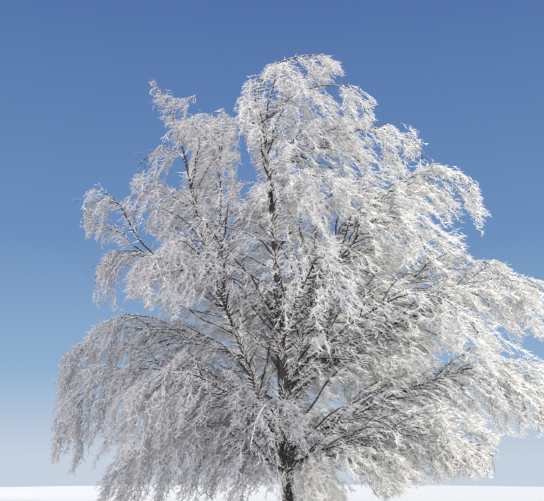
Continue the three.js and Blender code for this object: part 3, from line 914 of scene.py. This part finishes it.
# Bark
TRUNK_SIDES = 56
TRUNK_RINGS_A_LEG = 20
STEM_SIDES = 24
STEM_RINGS_A_LEG = 36
BOUGH_SIDES = 10
BOUGH_RINGS_A_LEG = 10
COLLAR = 0.55
COLLAR_REACH = 1.6
FURROW_WIDTH = 0.035
FURROW_LENGTH = 0.22
FURROW_SHARE = 0.05
FURROW_DEEPEST = 0.011
RIDGE_RISE = 0.5
FURROW_FALL = 1.2
PLATE_RISE = 0.5
FROST_CAP = 0.007
CAP_FROM = 0.25
CAP_OVER = 0.5
CAP_PATCH = 0.05
SPRAY_STEM_SIDES = 7
SPRAY_STEM_RINGS_A_LEG = 5
SPRAY_STEM_BURIED = 0.03


def swelling(limb, run, heights, angle):
    """How many times its own radius a limb has, with a collar at its parent or the trunk's flare of roots."""
    if limb.parent:
        parent = next(other for other in LIMBS if other.name == limb.parent)
        beyond = np.maximum(run - limb_radius(parent, limb.at), 0)
        return (1 + COLLAR * np.exp(-beyond / (COLLAR_REACH * limb.radius)))[:, None]
    ridge = 1 - ROOT_DEPTH + ROOT_DEPTH * np.cos(ROOTS * angle)
    return 1 + FLARE_SHARE * ridge * np.exp(-heights / FLARE_HEIGHT)[:, None]


def limb_surface(limb, sides, per_leg):
    """A limb's wall, with furrows in its bark and frost along its top."""
    spray = next(s for s in sprays if s.limb is limb)
    points = catmull_rom(paths[limb.name], per_leg, after=spray.path[1])
    share = np.linspace(0, 1, len(points))
    run = share * limb.length
    directions, angle = swept(points, sides, is_level=not limb.parent)
    radius = limb_radius(limb, share)[:, None] * np.ones(sides) * swelling(limb, run, points[:, 2], angle)
    grain = np.stack([np.cos(angle) * radius, np.sin(angle) * radius, np.tile(run[:, None], sides)], axis=-1)
    furrows = lattice_noise(grain / (FURROW_WIDTH, FURROW_WIDTH, FURROW_LENGTH), "furrows")
    plates = lattice_noise(grain / (FURROW_WIDTH / 2, FURROW_WIDTH / 2, FURROW_LENGTH / 3), "plates")
    depth = np.minimum(FURROW_SHARE * radius, FURROW_DEEPEST)
    relief = depth * (RIDGE_RISE - np.abs(2 * furrows - 1) * FURROW_FALL + PLATE_RISE * plates)
    upward = np.clip((directions[..., 2] - CAP_FROM) / CAP_OVER, 0, 1)
    frost = upward * lattice_noise(grain / CAP_PATCH, "frost")
    wall = points[:, None] + directions * (radius + relief + FROST_CAP * frost)[..., None]
    corners = np.concatenate([wall.reshape(-1, 3), points[:1], points[-1:]])
    ends = np.array([[0, 0, run[0]], [0, 0, run[-1]]])
    return corners, grid_faces(len(points), sides), np.concatenate([grain.reshape(-1, 3), ends])


def stem_surface(spray):
    """A spray's stem, which goes on smoothly from its limb's tip."""
    before = paths[spray.limb.name][-2] if spray.limb else None
    points = catmull_rom(spray.path, SPRAY_STEM_RINGS_A_LEG, before=before)
    if spray.limb:
        points[0] -= unit(points[1] - points[0]) * SPRAY_STEM_BURIED
    radius = stem_radius(spray.radius, np.linspace(0, 1, len(points)))
    wall = points[:, None] + swept(points, SPRAY_STEM_SIDES)[0] * radius[:, None, None]
    corners = np.concatenate([wall.reshape(-1, 3), points[:1], points[-1:]])
    return corners, grid_faces(len(points), SPRAY_STEM_SIDES)


def stacked(parts):
    """One list of corners and one of triangles from many."""
    corners, triangles, begin = [], [], 0
    for part_corners, part_triangles in parts:
        corners.append(part_corners)
        triangles.append(part_triangles + begin)
        begin += len(part_corners)
    return np.concatenate(corners), np.concatenate(triangles)


def add_object(name, data):
    added = bpy.data.objects.new(name, data)
    bpy.context.scene.collection.objects.link(added)
    return added


def mesh_piece(name, corners, triangles, material, slot, nodes, is_smooth, grain=None):
    mesh = bpy.data.meshes.new(name)
    mesh.vertices.add(len(corners))
    mesh.vertices.foreach_set("co", corners.astype(np.float32).ravel())
    mesh.loops.add(triangles.size)
    mesh.loops.foreach_set("vertex_index", triangles.astype(np.int32).ravel())
    mesh.polygons.add(len(triangles))
    mesh.polygons.foreach_set("loop_start", np.arange(0, triangles.size, 3, dtype=np.int32))
    mesh.polygons.foreach_set("use_smooth", np.full(len(triangles), is_smooth))
    if grain is not None:
        layer = mesh.attributes.new("grain", "FLOAT_VECTOR", "POINT")
        layer.data.foreach_set("vector", grain.astype(np.float32).ravel())
    mesh.update(calc_edges=True)
    mesh.materials.append(material)
    piece = add_object(name, mesh)
    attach(piece, "root")
    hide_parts(*nodes)


def twig_pieces(name, twigs, material, rng):
    """Pieces of twigs, each under the most triangles that a piece may have."""
    most = PIECE_TRIANGLES // len(tube_pattern(twigs.paths.shape[1] - 1, TWIG_SIDES))
    total = math.ceil(len(twigs.paths) / most)
    for part in range(total):
        chosen = keep(twigs, slice(part * most, (part + 1) * most))
        nodes = sorted({sprays[i].name for i in chosen.spray})
        label = name if total == 1 else f"{name}_{part + 1}"
        mesh_piece(label, *tubes(chosen, TWIG_SIDES, rng), material, "frosted_twigs", nodes, is_smooth=False)


# Materials
def plug(tree, node, inputs):
    """Each of a node's inputs gets a link to an output, or a value."""
    for key, value in inputs.items():
        if isinstance(value, bpy.types.NodeSocket):
            tree.links.new(value, node.inputs[key])
        else:
            node.inputs[key].default_value = value


def add_node(tree, kind, inputs=None, **settings):
    node = tree.nodes.new("ShaderNode" + kind)
    for key, value in settings.items():
        setattr(node, key, value)
    plug(tree, node, inputs or {})
    return node


def add_ramp(tree, factor, stops):
    node = add_node(tree, "ValToRGB", {"Fac": factor})
    ramp = node.color_ramp
    while len(ramp.elements) < len(stops):
        ramp.elements.new(1)
    for element, (position, colour) in zip(ramp.elements, stops):
        element.position = position
        element.color = (*colour, 1)
    return node.outputs["Color"]


def add_noise(tree, vector, scale, detail, roughness):
    inputs = {"Vector": vector, "Scale": scale, "Detail": detail, "Roughness": roughness}
    return add_node(tree, "TexNoise", inputs).outputs["Fac"]


def add_range(tree, value, before, after=(0, 1), **settings):
    """The value, mapped from the range before to the range after."""
    ends = {"From Min": before[0], "From Max": before[1], "To Min": after[0], "To Max": after[1]}
    return add_node(tree, "MapRange", {"Value": value, **ends}, **settings).outputs["Result"]


def add_mix(tree, factor, first, second):
    return add_node(tree, "MixRGB", {"Fac": factor, "Color1": first, "Color2": second}).outputs["Color"]


def add_bump(tree, height, strength, distance):
    bump = add_node(tree, "Bump", {"Height": height, "Strength": strength, "Distance": distance})
    return bump.outputs["Normal"]


def new_material(name):
    material = bpy.data.materials.new(name)
    material.use_nodes = True
    tree = material.node_tree
    return material, tree, tree.nodes["Principled BSDF"]


BARK_DARK = (0.016, 0.011, 0.012)
BARK_MIDDLE = (0.025, 0.018, 0.02)
BARK_RIDGE = (0.066, 0.052, 0.054)
BARK_PORE = (0.15, 0.12, 0.115, 1)
FROST_WHITE = (0.80, 0.82, 0.86, 1)
FROST_GAP = (0.16, 0.125, 0.12)
FROST_SHADE = 0.85
BARK_ROUGHNESS = 0.82
FROST_ROUGHNESS = 0.62
PORE_EDGE = (0.62, 0.68)
PATCH_NOISE = (0.35, 0.65)

# From where up to where a surface has to face up to hold frost, and how far noise shifts that
BARK_FROST = (0.25, 0.6)
BRANCH_FROST = (0.2, 0.6)
SMALL_BRANCH_FROST = (-0.6, -0.15)
BARK_FROST_STRAY = 0.45
BRANCH_FROST_STRAY = 0.7


def frost_on_top(tree, place, facing, stray):
    """A factor of 1 where a surface faces up enough to hold frost, broken up by noise."""
    normal = add_node(tree, "NewGeometry").outputs["Normal"]
    upward = add_node(tree, "SeparateXYZ", {"Vector": normal}).outputs["Z"]
    patches = add_noise(tree, place, scale=22, detail=4, roughness=0.65)
    shift = add_range(tree, patches, PATCH_NOISE, (-stray, stray))
    height = add_node(tree, "Math", {0: upward, 1: shift}, operation="ADD").outputs["Value"]
    return add_range(tree, height, facing, interpolation_type="SMOOTHSTEP")


def bark_material():
    """Dark furrowed bark with pale pores across it and frost along its top."""
    material, tree, shader = new_material("birch_bark")
    grain = add_node(tree, "Attribute", attribute_name="grain").outputs["Vector"]
    long = add_node(tree, "Mapping", {"Vector": grain, "Scale": (1, 1, 0.16)}).outputs["Vector"]
    wide = add_node(tree, "Mapping", {"Vector": grain, "Scale": (1, 1, 5)}).outputs["Vector"]
    furrows = add_noise(tree, long, scale=26, detail=6, roughness=0.62)
    colour = add_ramp(tree, furrows, [(0.34, BARK_DARK), (0.52, BARK_MIDDLE), (0.72, BARK_RIDGE)])
    pores = add_noise(tree, wide, scale=14, detail=2, roughness=0.5)
    scored = add_mix(tree, add_range(tree, pores, PORE_EDGE), colour, BARK_PORE)
    place = add_node(tree, "TexCoord").outputs["Object"]
    frost = frost_on_top(tree, place, BARK_FROST, BARK_FROST_STRAY)
    fine = add_noise(tree, long, scale=90, detail=5, roughness=0.7)
    plug(tree, shader, {"Base Color": add_mix(tree, frost, scored, FROST_WHITE),
                        "Roughness": add_range(tree, frost, (0, 1), (BARK_ROUGHNESS, FROST_ROUGHNESS)),
                        "Normal": add_bump(tree, fine, strength=0.5, distance=0.004)})
    return material


def branch_material(name, facing):
    """Thin dark bark with frost along its top and in patches round it."""
    material, tree, shader = new_material(name)
    place = add_node(tree, "TexCoord").outputs["Object"]
    mottle = add_noise(tree, place, scale=60, detail=4, roughness=0.6)
    bark = add_ramp(tree, mottle, [(0.35, BARK_DARK), (0.7, BARK_MIDDLE)])
    frost = frost_on_top(tree, place, facing, BRANCH_FROST_STRAY)
    plug(tree, shader, {"Base Color": add_mix(tree, frost, bark, FROST_WHITE), "Roughness": 0.75,
                        "Normal": add_bump(tree, mottle, strength=0.4, distance=0.003)})
    return material


def frost_material(name, colour):
    """Rime of one plain colour, grainy, with a little of the twig's bark between its crystals."""
    material, tree, shader = new_material(name)
    place = add_node(tree, "TexCoord").outputs["Object"]
    crystals = add_noise(tree, place, scale=45, detail=3, roughness=0.7)
    shade = tuple(FROST_SHADE * c for c in colour)
    rime = add_ramp(tree, crystals, [(0.3, FROST_GAP), (0.38, shade), (0.55, colour)])
    grit = add_noise(tree, place, scale=260, detail=2, roughness=0.6)
    plug(tree, shader, {"Base Color": rime, "Roughness": 0.6,
                        "Normal": add_bump(tree, grit, strength=0.5, distance=0.002)})
    return material


# Frost's plain colours, dealt out by where the middle of a spray's stem is, with light and shade painted into
# them: the palest is painted light low on the right, the warmer one is painted sunlight on the right, the
# darkest and bluest is painted shade on the left, and plain is the frost's own colour.
TINTS_WITH_PAINTED_LIGHT = {"pale": (0.94, 0.925, 0.90), "warm": (0.82, 0.81, 0.785), "plain": (0.71, 0.70, 0.705),
         "cool": (0.53, 0.52, 0.55)}
# Where the painted light low on the right, the painted sunlight on the right and the painted shade on the
# left begin
PAINTED_LIGHT_BELOW = 4.3
PAINTED_LIGHT_FROM = 0
PAINTED_SUN_FROM = 1.6
PAINTED_SHADE_TO = -0.5
PAINTED_SHADE_LEAN = 0.25
PAINTED_SHADE_HEIGHT = 3


def painted_light_tint_of(spray):
    """Painted light low on the right, painted sunlight on the right, painted shade on the left, which leans
    away with height, or plain.
    """
    x, _, z = spray.path.mean(axis=0)
    if x > PAINTED_LIGHT_FROM and z < PAINTED_LIGHT_BELOW:
        return "pale"
    if x > PAINTED_SUN_FROM:
        return "warm"
    return "cool" if x < PAINTED_SHADE_TO - PAINTED_SHADE_LEAN * max(z - PAINTED_SHADE_HEIGHT, 0) else "plain"


# The tree
def make_bark():
    bark = bark_material()
    groups = {
        "trunk_bark": ([LIMBS[0]], TRUNK_SIDES, TRUNK_RINGS_A_LEG),
        "stem_bark": (LIMBS[1:3], STEM_SIDES, STEM_RINGS_A_LEG),
        "bough_bark": (LIMBS[3:], BOUGH_SIDES, BOUGH_RINGS_A_LEG),
    }
    for name, (limbs, sides, per_leg) in groups.items():
        surfaces = [limb_surface(limb, sides, per_leg) for limb in limbs]
        corners, triangles = stacked([surface[:2] for surface in surfaces])
        grain = np.concatenate([surface[2] for surface in surfaces])
        nodes = [limb.name for limb in limbs]
        mesh_piece(name, corners, triangles, bark, "bark", nodes, is_smooth=True, grain=grain)


def bark_in_view(laterals):
    """How far off the bark lies that the camera could see: the trunk's and the stems', and the branches'."""
    upright = [paths[limb.name] for limb in LIMBS if kind_of(limb) != "bough"]
    boughs = [paths[limb.name] for limb in LIMBS if kind_of(limb) == "bough"]
    branches = boughs + list(laterals.paths[:, :BRANCH_SEEN + 1])
    return bark_depths(upright, LIMB_SAMPLES), bark_depths(branches, BRANCH_SAMPLES, SHOWN_TO_HEIGHT)


def grow_crown(rng):
    """Every kind of twig, each grown on the kinds before it."""
    source_sides, source_hanging = source_twigs()
    crown = {"stems": stems, "source_twigs": source_hanging, "sides": joined(source_sides, fine_sides(rng))}
    laterals = limb_laterals(rng)
    bark_behind = bark_in_view(laterals)
    crown["laterals"] = joined(laterals, closing_branches())
    for kind, growth in GROWTHS.items():
        grown = [fine_twigs(growth, crown[host], *places, rng) for host, places in growth.hosts.items()]
        crown[kind] = unveiled(joined(*grown), bark_behind, rng, growth.shown)
    crown["hanging_twigs"] = evened(crown["hanging_twigs"], rng)
    for kind, counts in TWIGLETS.items():
        grown = [twiglets(crown[host], count, rng) for host, count in counts.items()]
        crown[kind] = unveiled(joined(*grown), bark_behind, rng, TWIGLET_SHOWN)
    crown["bark_spurs"] = bark_spurs(rng)
    return crown


def make_branches(crown, rng):
    nodes = [spray.name for spray in sprays]
    parts = [stem_surface(spray) for spray in sprays]
    parts += [tubes(crown["sides"], SIDE_TWIG_SIDES, rng), tubes(crown["laterals"], LATERAL_SIDES, rng)]
    branch = branch_material("frosted_branch", BRANCH_FROST)
    mesh_piece("branches", *stacked(parts), branch, "bark", nodes, is_smooth=True)
    small_branch = branch_material("frosted_small_branch", SMALL_BRANCH_FROST)
    small = tubes(crown["small"], TWIG_SIDES, rng)
    mesh_piece("small_branches", *small, small_branch, "bark", nodes, is_smooth=True)


def make_twigs(crown, rng):
    # Each spray's frost takes the tint of where it stands: painted light on the right, painted shade on the
    # left, plain between
    painted_tints = np.array([painted_light_tint_of(spray) for spray in sprays])
    for tint, colour in TINTS_WITH_PAINTED_LIGHT.items():
        frost = frost_material("frost_" + tint, colour)
        for kind in FROSTED:
            chosen = keep(crown[kind], painted_tints[crown[kind].spray] == tint)
            twig_pieces(f"{kind}_{tint}", chosen, frost, rng)
    # The spurs on the bark all take the palest tint, the one with painted light
    on_bark = frost_material("frost_on_bark", TINTS_WITH_PAINTED_LIGHT["pale"])
    twig_pieces("bark_spurs", crown["bark_spurs"], on_bark, rng)


# Floor, light and camera
FLOOR_RADIUS = 30
FLOOR_SIDES = 96
FLOOR_COLOUR = (0.80, 0.83, 0.88, 1)
# Each sun's place, strength, colour and width in the sky
SUNS = {
    "key": ((22, -8, 14), 1.6, (1.0, 0.95, 0.88), 4),
    "fill": ((1, -24, 5), 2.15, (0.99, 0.98, 0.98), 20),
    "back": ((-12, 22, 12), 1.2, (0.98, 0.98, 1.0), 20),
}
LIT_PLACE = (0, 0, 6)
# The sky's colours by height
SKY = [(0, (0.56, 0.64, 0.74)), (0.1, (0.28, 0.44, 0.64)), (0.25, (0.15, 0.28, 0.52)),
       (0.6, (0.06, 0.13, 0.36))]
SKY_LIGHT = (0.80, 0.80, 0.80, 1)
CAMERA_TILT = 13.72
CAMERA_REACH = 300
PHOTO_WIDTH = 544
FOCAL_PIXELS = 850
SENSOR_WIDTH = 36


def make_stage():
    corners = [(FLOOR_RADIUS * math.cos(a), FLOOR_RADIUS * math.sin(a), 0)
               for a in np.linspace(0, 2 * math.pi, FLOOR_SIDES, endpoint=False)]
    mesh = bpy.data.meshes.new("floor")
    mesh.from_pydata(corners, [], [range(len(corners))])
    material, tree, shader = new_material("pale_floor")
    plug(tree, shader, {"Base Color": FLOOR_COLOUR, "Roughness": 0.9})
    mesh.materials.append(material)
    add_object("floor", mesh)


def make_light():
    for name, (place, energy, colour, width) in SUNS.items():
        sun = bpy.data.lights.new(name, "SUN")
        sun.energy = energy
        sun.color = colour
        sun.angle = math.radians(width)
        lamp = add_object(name, sun)
        lamp.location = place
        lamp.rotation_euler = (Vector(LIT_PLACE) - Vector(place)).to_track_quat("-Z", "Y").to_euler()


def make_sky():
    """A winter sky that the camera sees, and an even light from all round."""
    world = bpy.data.worlds.new("winter_sky")
    bpy.context.scene.world = world
    world.use_nodes = True
    tree = world.node_tree
    place = add_node(tree, "TexCoord").outputs["Generated"]
    height = add_node(tree, "SeparateXYZ", {"Vector": place}).outputs["Z"]
    is_seen = add_node(tree, "LightPath").outputs["Is Camera Ray"]
    light = add_mix(tree, is_seen, SKY_LIGHT, add_ramp(tree, height, SKY))
    plug(tree, tree.nodes["Background"], {"Color": light})


def make_camera():
    data = bpy.data.cameras.new("camera")
    data.lens = FOCAL_PIXELS / PHOTO_WIDTH * SENSOR_WIDTH
    data.sensor_width = SENSOR_WIDTH
    data.clip_end = CAMERA_REACH
    camera = add_object("camera", data)
    camera.location = CAMERA_PLACE
    camera.rotation_euler = (math.radians(90 + CAMERA_TILT), 0, 0)
    bpy.context.scene.camera = camera


generator = np.random.default_rng(SEED)
make_bark()
tree_crown = grow_crown(generator)
make_branches(tree_crown, generator)
make_twigs(tree_crown, generator)
make_stage()
make_light()
make_sky()
make_camera()
bpy.context.scene.view_settings.view_transform = "Standard"
